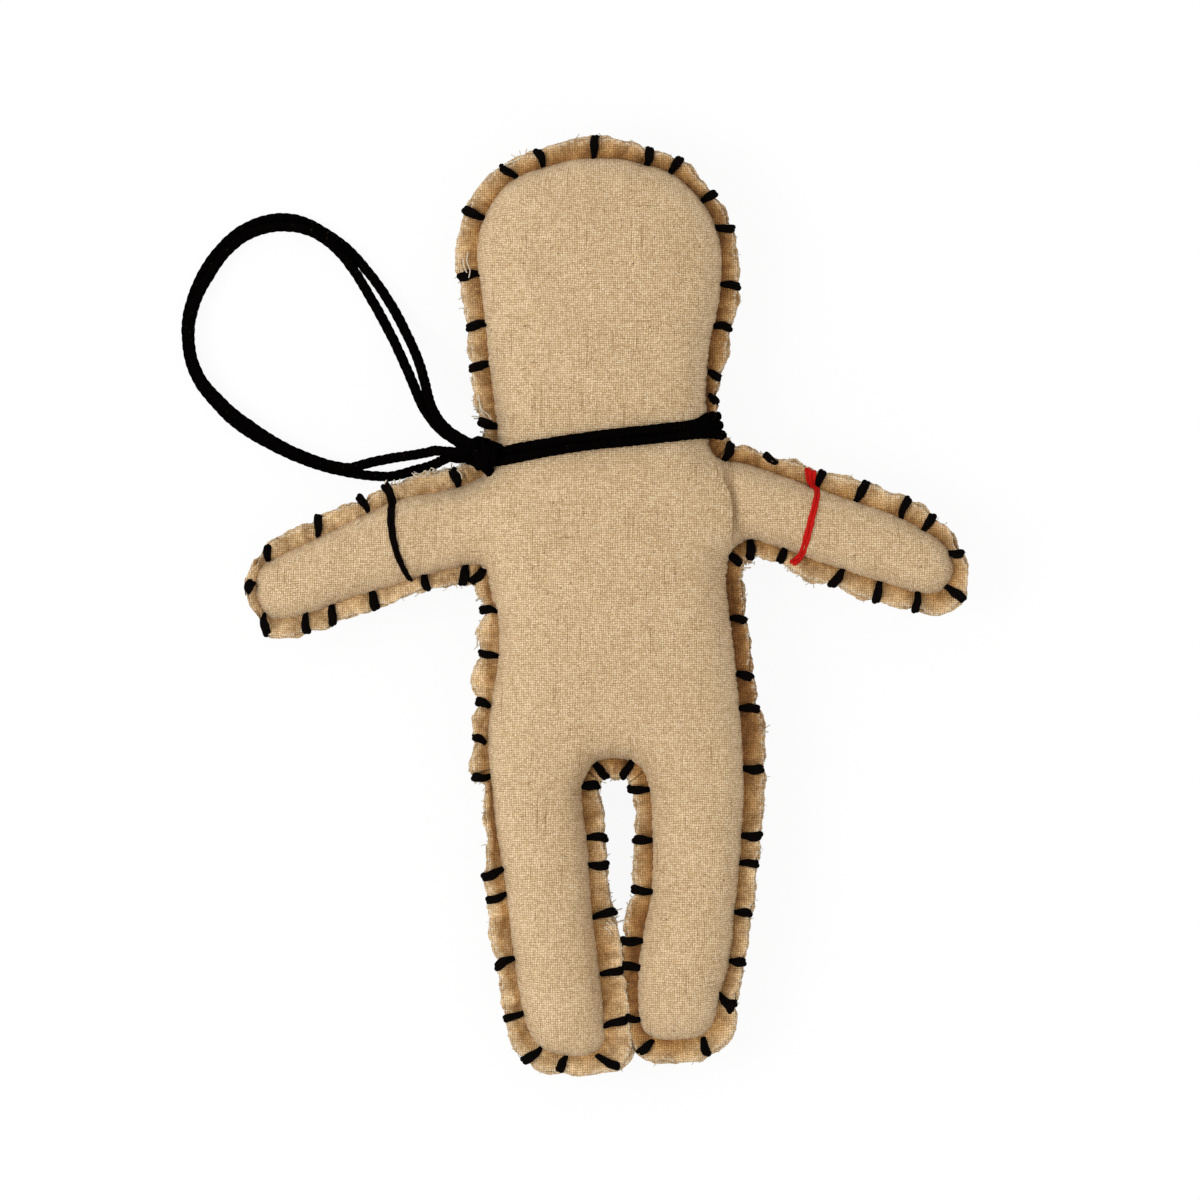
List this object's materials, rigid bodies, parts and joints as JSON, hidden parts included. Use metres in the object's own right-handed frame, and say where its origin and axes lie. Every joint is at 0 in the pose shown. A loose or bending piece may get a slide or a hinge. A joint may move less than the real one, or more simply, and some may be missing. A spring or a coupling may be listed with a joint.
{
  "type": "stuffed cloth doll",
  "caption": "Blank-faced stuffed linen doll with spread arms, black whip stitching round its raw edges and a cord loop tied at the neck.",
  "frame": {"origin": "middle of the doll's width and height, on the surface that it lies on (cord loop left out)", "axes": "+X to the doll's left, +Y from the feet towards the head, +Z out of the doll's front, the doll lying on its back"},
  "size_m": [0.1517, 0.1829, 0.0255],
  "materials": {
    "linen": "matte",
    "black_yarn": "matte",
    "red_yarn": "matte",
    "black_cord": "matte"
  },
  "bodies": {
    "torso": {"torso": "linen", "torso_left_stitches": "black_yarn", "torso_right_stitches": "black_yarn", "neck_cord": "black_cord", "neck_knot": "black_cord", "hanging_strand_outer": "black_cord", "hanging_strand_inner": "black_cord"},
    "head": {"head": "linen", "head_stitches": "black_yarn"},
    "left_arm": {"left_arm": "linen", "left_arm_stitches": "black_yarn", "left_arm_thread": "red_yarn"},
    "right_arm": {"right_arm": "linen", "right_arm_stitches": "black_yarn", "right_arm_thread": "black_yarn"},
    "left_leg": {"left_leg": "linen", "left_leg_stitches": "black_yarn", "left_leg_inner_stitches": "black_yarn"},
    "right_leg": {"right_leg": "linen", "right_leg_stitches": "black_yarn", "right_leg_inner_stitches": "black_yarn"}
  },
  "joints": [
    {"name": "neck_bend", "type": "hinge", "parent": "torso", "child": "head", "pos_m": [-0.0004, 0.0412, 0.0125], "axis": [1, 0.0068, 0], "range_deg": [-8, 15], "stiffness_Nm_per_rad": 0.02},
    {"name": "left_arm_bend", "type": "hinge", "parent": "torso", "child": "left_arm", "pos_m": [0.02962, 0.01946, 0.0125], "axis": [-0.3162, -0.9487, 0], "range_deg": [-8, 25], "stiffness_Nm_per_rad": 0.003},
    {"name": "right_arm_bend", "type": "hinge", "parent": "torso", "child": "right_arm", "pos_m": [-0.02861, 0.01541, 0.0125], "axis": [-0.3209, 0.9471, 0], "range_deg": [-8, 25], "stiffness_Nm_per_rad": 0.003},
    {"name": "left_leg_bend", "type": "hinge", "parent": "torso", "child": "left_leg", "pos_m": [0.01667, -0.03897, 0.0125], "axis": [-0.9988, 0.0493, 0], "range_deg": [-8, 25], "stiffness_Nm_per_rad": 0.015},
    {"name": "right_leg_bend", "type": "hinge", "parent": "torso", "child": "right_leg", "pos_m": [-0.01203, -0.03892, 0.0125], "axis": [-0.9969, -0.0789, 0], "range_deg": [-8, 25], "stiffness_Nm_per_rad": 0.015}
  ]
}
